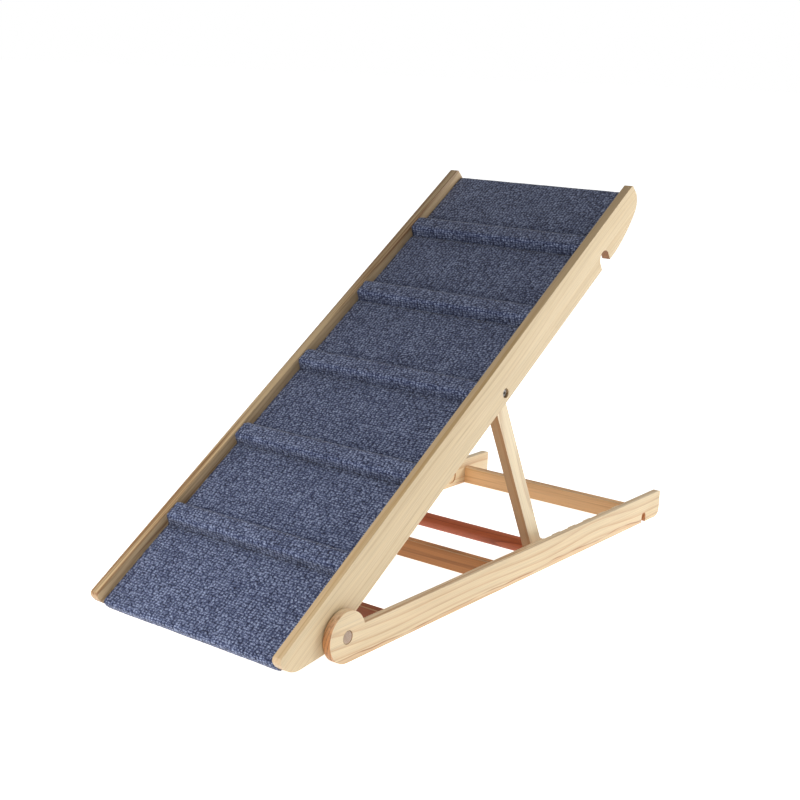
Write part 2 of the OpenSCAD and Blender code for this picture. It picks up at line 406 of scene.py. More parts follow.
def make_pine_grain():
    """Growth rings about a pith line beside the board, fibres along it, darker end grain, and
    painted light and shade on the narrow faces.
    """
    group = new_group(
        "pine_grain",
        [("Grain", "Vector", (0, 0, 0)), ("Pith", "Vector", (0, 0, 0)),
         ("End", "Float", 0.0), ("Arris", "Float", 0.0),
         ("Wood", "Color", (0.7, 0.55, 0.35, 1)), ("Line", "Color", (0.45, 0.27, 0.12, 1)),
         ("End Wood", "Color", (0.56, 0.27, 0.10, 1)), ("Edge Painted Light", "Color", (0.7, 0.55, 0.35, 1)),
         ("Edge", "Float", 0.0), ("Ring Width", "Float", 0.004),
         ("Line Strength", "Float", 0.6), ("Streaks", "Float", 0.45)],
        [("Color", "Color"), ("Roughness", "Float"), ("Height", "Float")])
    source = group.nodes["Group Input"].outputs
    result = group.nodes["Group Output"].inputs
    place = source["Grain"]
    apart = group.nodes.new("ShaderNodeVectorMath")
    apart.operation = "SUBTRACT"
    wire(group, place, apart.inputs[0])
    wire(group, source["Pith"], apart.inputs[1])
    parts = group.nodes.new("ShaderNodeSeparateXYZ")
    wire(group, apart.outputs[0], parts.inputs[0])
    sway = calc(group, "SUBTRACT", noise(group, place, (2.2, 7, 7), 1.0), 0.5)
    sway_2 = calc(group, "SUBTRACT", noise(group, place, (1.7, 5, 9), 1.0), 0.5)
    tremble = calc(group, "SUBTRACT", noise(group, place, (14, 60, 60), 2.0), 0.5)
    across = calc(group, "ADD", parts.outputs["Y"], calc(group, "MULTIPLY", sway, RING_SWAY))
    across = calc(group, "ADD", across, calc(group, "MULTIPLY", tremble, RING_TREMBLE))
    through = calc(group, "ADD", parts.outputs["Z"], calc(group, "MULTIPLY", sway_2, RING_SWAY))
    across_squared = calc(group, "MULTIPLY", across, across)
    through_squared = calc(group, "MULTIPLY", through, through)
    radius = calc(group, "SQRT", calc(group, "ADD", across_squared, through_squared))
    rings = calc(group, "DIVIDE", radius, source["Ring Width"])
    year = calc(group, "FLOOR", rings)
    season = calc(group, "FRACT", rings)
    late = grey_ramp(group, season, [
        (0.0, 0.08), (0.06, 0.0), (0.58, 0.08), (0.84, 0.60), (0.93, 1.0), (1.0, 0.08)])
    each_year = group.nodes.new("ShaderNodeTexWhiteNoise")
    each_year.noise_dimensions = "1D"
    wire(group, year, each_year.inputs["W"])
    vigour = calc(group, "ADD", calc(group, "MULTIPLY", each_year.outputs["Value"], 0.75), 0.25)
    vigour = calc(group, "ADD", vigour, calc(group, "MULTIPLY", source["End"], 0.5))
    line = calc(group, "MULTIPLY", calc(group, "MULTIPLY", late, vigour), source["Line Strength"])

    fibre = noise(group, place, (9, 900, 900), 3.0, 0.6)
    streak = calc(group, "SUBTRACT", noise(group, place, (3, 150, 150), 2.0), 0.5)
    streaks = calc(group, "ADD", source["Streaks"], calc(group, "MULTIPLY", source["Edge"], 3.0))
    patch = noise(group, place, (5, 22, 22), 2.0)
    cloud = calc(group, "MULTIPLY", calc(group, "SUBTRACT", patch, 0.5), 0.35)
    amount = calc(group, "ADD", line, calc(group, "MULTIPLY", streak, streaks))
    amount = calc(group, "ADD", amount, cloud, clamp=True)

    # Painted light and shade: the narrow faces take their own tone, paler on the base rails and
    # darker on the right ramp rail and the legs.
    side = blend_colour(group, source["Edge"], source["Wood"], source["Edge Painted Light"])
    body = blend_colour(group, calc(group, "MULTIPLY", source["End"], 0.9), side, source["End Wood"])
    dark = blend_colour(group, source["End"], source["Line"], END_LINE)
    colour = blend_colour(group, amount, body, dark)
    flecks = grey_ramp(group, fibre, [(0.30, 0.80), (0.55, 1.0), (0.75, 1.06)])
    colour = blend_colour(group, 0.85, colour, flecks, "MULTIPLY")
    worn = calc(group, "MULTIPLY", source["Arris"], patch)
    colour = blend_colour(group, worn, colour, RUBBED_PINE)
    wire(group, colour, result["Color"])

    rough = calc(group, "ADD", calc(group, "MULTIPLY", fibre, 0.22), 0.36)
    rough = calc(group, "SUBTRACT", rough, calc(group, "MULTIPLY", source["Arris"], 0.06))
    wire(group, rough, result["Roughness"])
    late_height = calc(group, "MULTIPLY", late, 0.5)
    height = calc(group, "ADD", calc(group, "MULTIPLY", fibre, 0.6), late_height)
    wire(group, height, result["Height"])
    return group


pine_grain = make_pine_grain()


def attribute(tree, name, output="Fac"):
    """Reads one of the piece's own attributes. Gives its output."""
    node = tree.nodes.new("ShaderNodeAttribute")
    node.attribute_name = name
    return node.outputs[output]


def pine(name, wood, line, ring, strength, pith, varnish=0.15, edge_painted_light=None,
         end_wood=END_PINE, streaks=0.45):
    """Sanded wood under a thin clear coat, with painted light and shade on the narrow faces and its
    own tone on the ends.

    ring is the growth rings' width, strength how dark they are, and pith where they centre."""
    material = bpy.data.materials.new(name)
    material.use_nodes = True
    tree = material.node_tree
    shader = tree.nodes["Principled BSDF"]
    grain = tree.nodes.new("ShaderNodeGroup")
    grain.node_tree = pine_grain
    wire(tree, attribute(tree, "grain", "Vector"), grain.inputs["Grain"])
    wire(tree, attribute(tree, "end_grain"), grain.inputs["End"])
    wire(tree, attribute(tree, "arris"), grain.inputs["Arris"])
    wire(tree, attribute(tree, "narrow_face"), grain.inputs["Edge"])
    grain.inputs["Edge Painted Light"].default_value = (*(edge_painted_light or wood), 1)
    grain.inputs["End Wood"].default_value = (*end_wood, 1)
    grain.inputs["Pith"].default_value = pith
    grain.inputs["Wood"].default_value = (*wood, 1)
    grain.inputs["Line"].default_value = (*line, 1)
    grain.inputs["Ring Width"].default_value = ring
    grain.inputs["Line Strength"].default_value = strength
    grain.inputs["Streaks"].default_value = streaks
    wire(tree, grain.outputs["Color"], shader.inputs["Base Color"])
    wire(tree, grain.outputs["Roughness"], shader.inputs["Roughness"])
    shader.inputs["Coat Weight"].default_value = varnish
    shader.inputs["Coat Roughness"].default_value = 0.35
    bump = tree.nodes.new("ShaderNodeBump")
    bump.inputs["Strength"].default_value = 0.18
    bump.inputs["Distance"].default_value = 0.0004
    wire(tree, grain.outputs["Height"], bump.inputs["Height"])
    wire(tree, bump.outputs["Normal"], shader.inputs["Normal"])
    return material


def add_resin_line(material, height):
    """A thin resin line that wanders along the board, with redder heartwood below it."""
    tree = material.node_tree
    grain = next(node for node in tree.nodes if node.type == "GROUP")
    place = tree.nodes.new("ShaderNodeSeparateXYZ")
    grain_place = attribute(tree, "grain", "Vector")
    wire(tree, grain_place, place.inputs[0])
    drift = calc(tree, "SUBTRACT", noise(tree, grain_place, (7, 0, 3), 2.0), 0.5)
    wander = calc(tree, "MULTIPLY", drift, RESIN_WANDER)
    above = calc(tree, "SUBTRACT", calc(tree, "SUBTRACT", place.outputs["Y"], height), wander)
    shown = grey_ramp(tree, noise(tree, grain_place, (11, 0, 0), 1.0), [(0.38, 0.15), (0.56, 1.0)])
    apart = calc(tree, "MULTIPLY", calc(tree, "ABSOLUTE", above), 100)
    line = grey_ramp(tree, apart, [(0.05, 1.0), (0.14, 0.0)])
    line = calc(tree, "MULTIPLY", calc(tree, "MULTIPLY", line, shown), 0.85)
    rise = calc(tree, "ADD", calc(tree, "MULTIPLY", above, 100), 0.5)
    heart = grey_ramp(tree, rise, [(0.30, 0.28), (0.50, 0.0)])
    heart = calc(tree, "MULTIPLY", heart, shown)
    colour = blend_colour(tree, heart, grain.outputs["Color"], HEARTWOOD)
    colour = blend_colour(tree, line, colour, RESIN_LINE)
    wire(tree, colour, tree.nodes["Principled BSDF"].inputs["Base Color"])


base_pine = pine("base_rail_pine", PINE_LIGHT, PINE_LINE, ring=0.0050, strength=0.85,
                 pith=(0, 0.075, 0.05), edge_painted_light=TOP_EDGE_PAINTED_LIGHT)
add_resin_line(base_pine, RESIN_HEIGHT)

base_rail = box_between("base_rail_right_pine",
                        (base_in, pivot.y, 0), (base_out, base_high.y, RAIL_HEIGHT))
round_corner(base_rail, base_high.y, 0, END_ROUND, 8)
round_corner(base_rail, base_high.y, RAIL_HEIGHT, END_TOP_ROUND, 3)
add_round(base_rail, base_in, base_out, pivot.z, pivot.y, pivot.z, 96)
slot_y = base_high.y - SLOT_BACK
slot_top = SLOT_HEIGHT - SLOT_HALF
drill(base_rail, base_in - PAST, base_out + PAST, SLOT_HALF, slot_y, slot_top, 32)
mill(base_rail, (base_in - PAST, slot_y - SLOT_HALF, -PAST),
     (base_out + PAST, slot_y + SLOT_HALF, slot_top))
ease(base_rail, RAIL_EASE)
drill(base_rail, base_in - PAST, base_out + PAST, dowel_r + DOWEL_GAP, pivot.y, pivot.z)
seat_r = foot_bar_r + SEAT_GAP
for i in range(SEATS):
    y = foot.y + i * SEAT_STEP
    drill(base_rail, base_in - PAST, base_in + SEAT_DEPTH, seat_r, y, foot.z)
    mill(base_rail, (base_in - PAST, y - seat_r, foot.z),
         (base_in + SEAT_DEPTH, y + seat_r, RAIL_HEIGHT + PAST))
left_base_rail = mirrored(base_rail, "base_rail_left_pine")
for piece, side, start in ((base_rail, "right", (0.11, 0.0, 0.0)),
                           (left_base_rail, "left", (2.3, 0.004, 0.38))):
    mark_grain(piece, 1, 0, start)
    finish_piece(piece, "base_frame", base_pine, ["base_rail_" + side])

# ---------------------------------------------------------------- cross bars
# Three short square-edged pine bars, glued and dowelled between the base rails. They
# # are cut from darker, closer-grained stock than the rails and show their ring lines.
# # Their tones hold painted shade too: the near bar is painted darkest and the far one palest.
BAR_EASE = 0.0012

# Painted shade: the three bars' tones run from darkest near to palest far.
for number, (node, wood, line) in enumerate((
        ("base_bar_near", (0.34, 0.105, 0.045), (0.13, 0.035, 0.012)),
        ("base_bar_middle", (0.60, 0.28, 0.105), (0.20, 0.060, 0.016)),
        ("base_bar_far", (0.90, 0.57, 0.29), (0.44, 0.20, 0.070)))):
    bar = box_between(node + "_pine", *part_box(node))
    ease(bar, BAR_EASE)
    mark_grain(bar, 0, 1, (number * 1.7, number * 0.003, 0.4 * number))
    bar_pine = pine(node + "_grain", wood, line, ring=0.0026, strength=0.7,
                    pith=(0, 0.012, 0.035), varnish=0.05, streaks=1.5)
    finish_piece(bar, "base_frame", bar_pine, [node])

# ---------------------------------------------------------------- dowels
# Beech dowels: two thick ones carry the ramp on the base rails' heads, with their
# ends sanded flush, and twelve thin ones hold the cross bars and never show.
DOWEL_WOOD = (0.36, 0.24, 0.19)
DOWEL_LINE = (0.20, 0.12, 0.09)
DOWEL_END = (0.50, 0.38, 0.29)
DOWEL_EASE = 0.0007
DOWEL_SINK = 0.0002
SNUG = 0.0001           # play between a glued round bar and its hole
ALONG_X = (0, 0, 0)

dowel_beech = pine("dowel_beech", DOWEL_WOOD, DOWEL_LINE, ring=0.0016, strength=0.5,
                   pith=(0, 0.002, 0.003), end_wood=DOWEL_END)
dowel = bar_along_x("pivot_dowel_right_beech", dowel_low.x, dowel_high.x - DOWEL_SINK,
                    dowel_r - SNUG, pivot.y, pivot.z)
ease(dowel, DOWEL_EASE, 2)
left_dowel = mirrored(dowel, "pivot_dowel_left_beech")
for piece, side in ((dowel, "right"), (left_dowel, "left")):
    mark_grain(piece, 0, 1, (0, -pivot.z, -pivot.y))
    finish_piece(piece, "base_frame", dowel_beech, ["pivot_dowel_" + side])


def repaint(node, material):
    """Gives a CAD node that keeps its shape its own material."""
    mesh = frame["nodes"][node].data
    mesh.materials.clear()
    mesh.materials.append(material)


def grain_by_place(material, along):
    """Lets a wood material read its grain from where the wood is, turned to run along an axis."""
    tree = material.node_tree
    place = tree.nodes.new("ShaderNodeTexCoord")
    turn = tree.nodes.new("ShaderNodeMapping")
    turn.inputs["Rotation"].default_value = along
    wire(tree, place.outputs["Object"], turn.inputs["Vector"])
    group = next(node for node in tree.nodes if node.type == "GROUP")
    wire(tree, turn.outputs["Vector"], group.inputs["Grain"])
    return material


peg_beech = pine("peg_beech", DOWEL_WOOD, DOWEL_LINE, ring=0.002, strength=0.5, pith=(0, 0.3, 0.1))
repaint("base_dowels", grain_by_place(peg_beech, ALONG_X))

# ---------------------------------------------------------------- ramp rails
# Two deep pine boards that carry the deck in a groove. The nose is rounded and cut
# back to clear the floor, the tip tapers, and a notch takes the folded foot bar.
RAMP_WOOD = (0.78, 0.62, 0.39)
RAMP_LINE = (0.50, 0.30, 0.11)
# painted shade on the right ramp rail's top and bottom faces
RAMP_EDGE_PAINTED_SHADE = (0.62, 0.44, 0.24)
# end grain darkened further with painted shade, full only in the notch
NOTCH_END_AND_SHADE = (0.34, 0.14, 0.045)
NOSE_END = 0.35         # share of the notch's dark tone, end grain and painted shade, that the nose and tip keep
BROWN_WOOD = (0.60, 0.43, 0.24)
BROWN_LINE = (0.26, 0.13, 0.045)
RAMP_SLOPE = radians(33.93)
RAIL_UNDER = 0.0018     # from the pivot's middle up to the rail's underside
RAMP_EASE = 0.0018
FOOT_CUT = radians(26.7)    # slant of the cut under the nose
NOSE_R = 0.0367
TAPER = radians(25.3)   # slant of the underside near the tip
TAPER_R = 0.194         # arc that leads into it
TAPER_START = 0.102     # from the start of that arc to the tip
TIP_R = 0.026
TIP_LEAN = radians(12)  # slant of the tip's end
NOTCH_V = 0.0134        # from the pivot's middle up to the middle of the notch's round top
NOTCH_R = foot_bar_r + 0.0013
NOTCH_BEYOND = 0.0005   # from the folded foot bar's middle to the notch's
NOTCH_REACH = 0.001     # how far round the notch the dark end grain and painted shade reach
RECESS_R = 0.0075
RECESS_DEPTH = 0.007
TOP_NOSE_R = 0.007
TOP_TIP_R = 0.0035
ARC_SPARE = 0.98        # keeps the tip's arc just clear of the taper's
FIT = 0.0002            # play round a dowel, a bolt or a cut edge

ramp_frame = Matrix.Translation(Vector((0, pivot.y, pivot.z))) @ Matrix.Rotation(RAMP_SLOPE, 4, "X")
to_ramp = ramp_frame.inverted()


def box_on_ramp(node):
    """A CAD node's lowest and highest corners in the ramp's own frame, with Y up the slope."""
    corners = [to_ramp @ vertex.co for vertex in frame["nodes"][node].data.vertices]
    lowest = Vector([min(p[k] for p in corners) for k in range(3)])
    highest = Vector([max(p[k] for p in corners) for k in range(3)])
    return lowest, highest


ramp_low, ramp_high = box_on_ramp("ramp_rail_right")
ramp_in, ramp_out = ramp_low.x, ramp_high.x
nose, tip, crest = ramp_low.y, ramp_high.y, ramp_high.z
ear_r = -ramp_low.z
deck_low, deck_high = box_on_ramp("deck_board")
bolt_low, bolt_high = box_on_ramp("prop_bolt_right")
hinge = (bolt_low + bolt_high) / 2
prop_reach = (foot - ramp_frame @ Vector((0, hinge.y, hinge.z))).length
notch_u = hinge.y + prop_reach + NOTCH_BEYOND

ramp_rail = box_between("ramp_rail_right_pine",
                        (ramp_in, nose, RAIL_UNDER), (ramp_out, tip, crest))
cut_away = Vector((-sin(FOOT_CUT), -cos(FOOT_CUT)))
nose_middle = Vector((nose + NOSE_R, crest - NOSE_R / 4))
foot_cut_at = nose_middle + NOSE_R * cut_away
slice_off(ramp_rail, foot_cut_at.x, foot_cut_at.y, cut_away)
taper_reach = TAPER_R * tan(TAPER / 2)
taper_u = tip - TAPER_START + taper_reach
slice_off(ramp_rail, taper_u, RAIL_UNDER, (sin(TAPER), -cos(TAPER)))
tip_v = RAIL_UNDER + (tip - taper_u) * tan(TAPER)
tip_reach = TIP_R * tan((radians(90) - TAPER) / 2)
lean_v = tip_v + tip_reach
slice_off(ramp_rail, tip, lean_v, (cos(TIP_LEAN), sin(TIP_LEAN)))
nose_v = foot_cut_at.y + (foot_cut_at.x - nose) * tan(FOOT_CUT)
round_corner(ramp_rail, nose, nose_v, NOSE_R * tan((radians(90) - FOOT_CUT) / 2), 12)
round_corner(ramp_rail, nose, crest, TOP_NOSE_R, 5)
round_corner(ramp_rail, taper_u, RAIL_UNDER, taper_reach, 12)
round_corner(ramp_rail, tip, tip_v, tip_reach * ARC_SPARE, 10)
round_corner(ramp_rail, tip - (crest - lean_v) * tan(TIP_LEAN), crest, TOP_TIP_R, 4)
add_round(ramp_rail, ramp_in, ramp_out, ear_r, 0, 0)
drill(ramp_rail, ramp_in - PAST, ramp_out + PAST, NOTCH_R, notch_u, NOTCH_V, 48)
mill(ramp_rail, (ramp_in - PAST, notch_u - NOTCH_R, -PAST),
     (ramp_out + PAST, notch_u + NOTCH_R, NOTCH_V))
ease(ramp_rail, RAMP_EASE)
drill(ramp_rail, ramp_out - RECESS_DEPTH, ramp_out + PAST, RECESS_R, hinge.y, hinge.z, 48)
drill(ramp_rail, ramp_in - PAST, ramp_out + PAST, dowel_r + FIT, 0, 0)
mill(ramp_rail, (ramp_in - PAST, deck_low.y, deck_low.z),
     (deck_high.x + FIT, deck_high.y, deck_high.z))
left_ramp_rail = mirrored(ramp_rail, "ramp_rail_left_pine")
pale_board = pine("ramp_rail_pale_pine", RAMP_WOOD, RAMP_LINE, ring=0.0040, strength=0.45,
                  pith=(0, 0.10, 0.06), edge_painted_light=RAMP_EDGE_PAINTED_SHADE, end_wood=NOTCH_END_AND_SHADE, streaks=0.6)
brown_board = pine("ramp_rail_brown_pine", BROWN_WOOD, BROWN_LINE, ring=0.0034, strength=0.8,
                   pith=(0, 0.12, 0.04), end_wood=NOTCH_END_AND_SHADE, streaks=2.6)
for piece, side, start, board in ((ramp_rail, "right", (0.4, 0.0, 0.0), pale_board),
                                  (left_ramp_rail, "left", (3.1, 0.006, 0.35), brown_board)):
    mark_grain(piece, 1, 0, start)
    # Only the notch keeps the full dark tone, partly real end grain and partly painted shade
    #     # in the recess; the nose and the tip keep less of it.
    end = piece.data.attributes["end_grain"]
    for i, face in enumerate(piece.data.polygons):
        beside = abs(face.center.y - notch_u) > NOTCH_R + NOTCH_REACH
        if beside or face.center.z > NOTCH_V + NOTCH_R:
            end.data[i].value *= NOSE_END
    piece.data.transform(ramp_frame)
    finish_piece(piece, "ramp", board, ["ramp_rail_" + side])

# ---------------------------------------------------------------- deck board and battens
# The deck is one sheet of 9 mm plywood in the rails' grooves, bare underneath. Five
# softwood battens are screwed to it from below and hide under the carpet.
PLY_WOOD = (0.58, 0.42, 0.25)
PLY_LINE = (0.42, 0.27, 0.14)
UP_THE_SLOPE = (-RAMP_SLOPE, 0, radians(-90))
BATTENS = ["batten_%d" % number for number in range(1, 6)]

deck_ply = pine("deck_plywood", PLY_WOOD, PLY_LINE, ring=0.011, strength=0.5,
                pith=(0, 0.1, 0.25), varnish=0.0)
repaint("deck_board", grain_by_place(deck_ply, UP_THE_SLOPE))
batten_pine = pine("batten_pine", PINE_LIGHT, PINE_LINE, ring=0.004, strength=0.5,
                   pith=(0, 0.2, 0.1), varnish=0.0)
grain_by_place(batten_pine, ALONG_X)
for batten in BATTENS:
    repaint(batten, batten_pine)

# ---------------------------------------------------------------- carpet
# One piece of denim-blue loop-pile carpet, glued over the deck and pressed into the
# corners of the battens, and turned under at both ends. Its long edges are cut raw.
CARPET_DEEP = (0.006, 0.008, 0.028)
CARPET_BLUE = (0.060, 0.077, 0.158)
CARPET_PALE = (0.345, 0.40, 0.57)
CARPET_THICK = 0.0038
CARPET_TUCK = 0.024     # how far each end is turned under the deck
SIDE_GAP = 0.0006
ROW = 0.0030            # spacing of the mesh along the carpet
COLUMN = 0.0037         # and across it
INNER_CORNER = 0.0035
OUTER_CORNER = 0.0062
CREASE_CORNER = 0.0018
END_TOP_CORNER = 0.006
END_UNDER_CORNER = 0.005
RIDGE_LEAN = 0.0030     # how far a ridge's foot stands out beyond the batten's side
RIDGE_RUN_IN = 0.007    # where the carpet starts to dip into the crease
CROWN_IN = 0.0005
CREASE_DEPTH = 0.0012
CREASE_HALF = 0.0032    # half-width of the crease's painted shade line
CREASE_SHADE = 0.018    # how far the softer painted shade runs down the slope from it
EDGE_FRAY = 0.0007
EDGE_DROP = 0.0007
NEXT_DROP = 0.0002
SWELL = 0.0005
TUFT = 0.00035
PILE_SINK = 0.0004      # how far the trodden pile lies below its full thickness
BACKING = 0.0008        # left out of the sheet's thickness, so that it clears the deck
LOOP_ACROSS = 0.0055
LOOP_ALONG = 0.0040
SPECK = 0.0015

carpet_low, carpet_high = box_on_ramp("carpet")
batten_boxes = [box_on_ramp(batten) for batten in BATTENS]


def rounded(corners, steps=5):
    """A path through corners (place, radius) with each corner turned on an arc."""
    path = []
    for i, (corner, radius) in enumerate(corners):
        if not radius:
            path.append(corner)
            continue
        before = (corners[i - 1][0] - corner).normalized()
        after = (corners[i + 1][0] - corner).normalized()
        half = before.angle(after) / 2
        middle = corner + (before + after).normalized() * radius / sin(half)
        a, b = corner + before * radius / tan(half), corner + after * radius / tan(half)
        for k in range(steps + 1):
            arm = (a - middle).lerp(b - middle, k / steps)
            path.append(middle + arm.normalized() * radius)
    return path


def evenly(path, step):
    """Points about a step apart along a path, and the path's length."""
    lengths = [0.0]
    for a, b in zip(path, path[1:]):
        lengths.append(lengths[-1] + (b - a).length)
    count = round(lengths[-1] / step)
    spaced = []
    i = 0
    for k in range(count + 1):
        s = lengths[-1] * k / count
        while i < len(path) - 2 and lengths[i + 1] < s:
            i += 1
        part = (s - lengths[i]) / (lengths[i + 1] - lengths[i])
        spaced.append(path[i].lerp(path[i + 1], part))
    return spaced, lengths[-1]


ground = deck_high.z + CARPET_THICK
under = deck_low.z - CARPET_THICK
low_end, high_end = carpet_low.y + FIT, carpet_high.y - FIT
corners = [(Vector((low_end + CARPET_TUCK, under)), 0),
           (Vector((low_end, under)), END_UNDER_CORNER),
           (Vector((low_end, ground)), END_TOP_CORNER)]
creases = []
for batten_low, batten_high in batten_boxes:
    crown = batten_high.z + CARPET_THICK
    near, far = batten_low.y - CARPET_THICK, batten_high.y + CARPET_THICK
    creases.append(near - RIDGE_LEAN)
    corners += [(Vector((near - RIDGE_LEAN - RIDGE_RUN_IN, ground)), INNER_CORNER),
                (Vector((near - RIDGE_LEAN, ground - CREASE_DEPTH)), CREASE_CORNER),
                (Vector((near + CROWN_IN, crown)), OUTER_CORNER),
                (Vector((far - CROWN_IN, crown)), OUTER_CORNER),
                (Vector((far + RIDGE_LEAN, ground)), INNER_CORNER)]
corners += [(Vector((high_end, ground)), END_TOP_CORNER),
            (Vector((high_end, under)), END_UNDER_CORNER),
            (Vector((high_end - CARPET_TUCK, under)), 0)]
path, carpet_length = evenly(rounded(corners), ROW)
half_width = carpet_high.x - SIDE_GAP
columns = round(2 * half_width / COLUMN)

# One row of points across the carpet for each spot on its path: their places in space,
# # their places on the flat sheet, and how much painted shade each gets at a crease.
points, places, crease_shadings = [], [], []
for j, spot in enumerate(path):
    ahead, behind = path[min(j + 1, len(path) - 1)], path[max(j - 1, 0)]
    heading = (ahead - behind).normalized()
    out = Vector((-heading.y, heading.x))
    s = carpet_length * j / (len(path) - 1)
    # Painted shade: a dark line along each crease at a ridge's foot, and a softer shade on the slope
    # below it; none under the deck.
    beyond = min((spot.x - crease for crease in creases), key=abs)
    crease_shading = exp(-(beyond / CREASE_HALF) ** 2)
    if beyond < 0:
        crease_shading += 0.35 * exp(beyond / CREASE_SHADE)
    if spot.y < deck_low.z:
        crease_shading = 0.0
    for i in range(columns + 1):
        x = -half_width + 2 * half_width * i / columns
        rim = min(i, columns - i)
        drop = {0: EDGE_DROP, 1: NEXT_DROP}.get(rim, 0.0)
        if rim == 0:
            x += EDGE_FRAY * field.noise(Vector((s * 260, x * 3, 5)))
        swell = SWELL * field.noise(Vector((x * 22, s * 22, 1))) - PILE_SINK
        tuft = TUFT * field.noise(Vector((x * 170, s * 170, 2)))
        y, z = spot + out * (swell + tuft - drop)
        points.append(ramp_frame @ Vector((x, y, z)))
        places.append((x, s))
        crease_shadings.append(crease_shading)
wide = columns + 1
faces = []
for j in range(len(path) - 1):
    for i in range(columns):
        a = j * wide + i
        faces.append((a, a + 1, a + 1 + wide, a + wide))
mesh = bpy.data.meshes.new("carpet")
mesh.from_pydata(points, [], faces)
pile = bpy.data.objects.new("carpet_pile", mesh)
bpy.context.collection.objects.link(pile)
painted_crease_shade = mesh.attributes.new("painted_crease_shade", "FLOAT", "POINT")
painted_crease_shade.data.foreach_set("value", crease_shadings)
lay = mesh.uv_layers.new(name="lay")
for loop in mesh.loops:
    lay.data[loop.index].uv = places[loop.vertex_index]
work_on(pile)
thickness = pile.modifiers.new("thickness", "SOLIDIFY")
thickness.thickness = CARPET_THICK - BACKING
thickness.offset = -1
bpy.ops.object.modifier_apply(modifier="thickness")


def make_loop_pile():
    """Rows of yarn loops of mixed blues with dark gaps between them, with painted shade at the
    creases.
    """
    material = bpy.data.materials.new("loop_pile")
    material.use_nodes = True
    tree = material.node_tree
    shader = tree.nodes["Principled BSDF"]
    where = tree.nodes.new("ShaderNodeUVMap")
    where.uv_map = "lay"
    waver = tree.nodes.new("ShaderNodeTexNoise")
    waver.inputs["Scale"].default_value = 38.0
    waver.inputs["Detail"].default_value = 1.0
    wire(tree, where.outputs["UV"], waver.inputs["Vector"])
    shift = tree.nodes.new("ShaderNodeVectorMath")
    shift.operation = "MULTIPLY_ADD"
    shift.inputs[1].default_value = (0.0045, 0.0045, 0)
    wire(tree, waver.outputs["Color"], shift.inputs[0])
    wire(tree, where.outputs["UV"], shift.inputs[2])
    rows = tree.nodes.new("ShaderNodeVectorMath")
    rows.operation = "MULTIPLY"
    rows.inputs[1].default_value = (1 / LOOP_ACROSS, 1 / LOOP_ALONG, 0)
    wire(tree, shift.outputs[0], rows.inputs[0])
    loops = tree.nodes.new("ShaderNodeTexVoronoi")
    loops.voronoi_dimensions = "2D"
    loops.inputs["Scale"].default_value = 1.0
    loops.inputs["Randomness"].default_value = 0.45
    wire(tree, rows.outputs[0], loops.inputs["Vector"])
    gap = grey_ramp(tree, loops.outputs["Distance"], [(0.18, 0.0), (0.60, 1.0)])
    yarn = tree.nodes.new("ShaderNodeSeparateColor")
    wire(tree, loops.outputs["Color"], yarn.inputs[0])
    fluff = noise(tree, where.outputs["UV"], (1000, 1200, 0), 2.0, 0.65)
    speck = tree.nodes.new("ShaderNodeTexVoronoi")
    speck.voronoi_dimensions = "2D"
    speck.inputs["Scale"].default_value = 1 / SPECK
    wire(tree, where.outputs["UV"], speck.inputs["Vector"])
    fleck = tree.nodes.new("ShaderNodeSeparateColor")
    wire(tree, speck.outputs["Color"], fleck.inputs[0])
    mottle = noise(tree, where.outputs["UV"], (30, 30, 0), 2.0, 0.5)

    tone = calc(tree, "MULTIPLY", yarn.outputs[0], 0.20)
    for source, share in ((fluff, 0.60), (fleck.outputs[0], 0.47), (mottle, 0.20)):
        tone = calc(tree, "ADD", tone, calc(tree, "MULTIPLY", source, share))
    tone = calc(tree, "SUBTRACT", tone, calc(tree, "MULTIPLY", gap, 0.42))
    dye = tree.nodes.new("ShaderNodeValToRGB")
    dye.color_ramp.elements[0].position = 0.12
    dye.color_ramp.elements[0].color = (*CARPET_DEEP, 1)
    dye.color_ramp.elements[1].position = 0.98
    dye.color_ramp.elements[1].color = (*CARPET_PALE, 1)
    dye.color_ramp.elements.new(0.54).color = (*CARPET_BLUE, 1)
    wire(tree, tone, dye.inputs[0])
    # Painted shade at the creases darkens the dye.
    light = calc(tree, "SUBTRACT", 1.0, calc(tree, "MULTIPLY", attribute(tree, "painted_crease_shade"), 0.42))
    shade = tree.nodes.new("ShaderNodeCombineColor")
    for channel in range(3):
        wire(tree, light, shade.inputs[channel])
    colour = blend_colour(tree, 1.0, dye.outputs[0], shade.outputs[0], "MULTIPLY")
    wire(tree, colour, shader.inputs["Base Color"])
    wire(tree, grey_ramp(tree, fluff, [(0.2, 0.82), (0.8, 0.98)]), shader.inputs["Roughness"])
    shader.inputs["Specular IOR Level"].default_value = 0.15
    shader.inputs["Sheen Weight"].default_value = 0.25
    shader.inputs["Sheen Roughness"].default_value = 0.5
    relief = calc(tree, "SUBTRACT", calc(tree, "MULTIPLY", fluff, 0.5), gap)
    bump = tree.nodes.new("ShaderNodeBump")
    bump.inputs["Strength"].default_value = 0.6
    bump.inputs["Distance"].default_value = 0.0009
    wire(tree, relief, bump.inputs["Height"])
    wire(tree, bump.outputs["Normal"], shader.inputs["Normal"])
    return material


finish_piece(pile, "ramp", make_loop_pile(), ["carpet"])

# ---------------------------------------------------------------- prop
# Two pine legs with rounded tops and round feet, joined by a thick dowel through the
# feet. The dowel's ends run out past the legs to sit in the base rails' seats.
LEG_WOOD = (0.92, 0.78, 0.54)
# painted shade on the legs' front and back faces
LEG_EDGE_PAINTED_SHADE = (0.47, 0.28, 0.13)
LEG_LINE = (0.42, 0.21, 0.075)
LEG_EASE = 0.0015
FOOT_BAR_WOOD = (0.56, 0.155, 0.070)
FOOT_BAR_LINE = (0.18, 0.030, 0.012)
FOOT_BAR_EASE = 0.0015
BOLT_R = 0.003

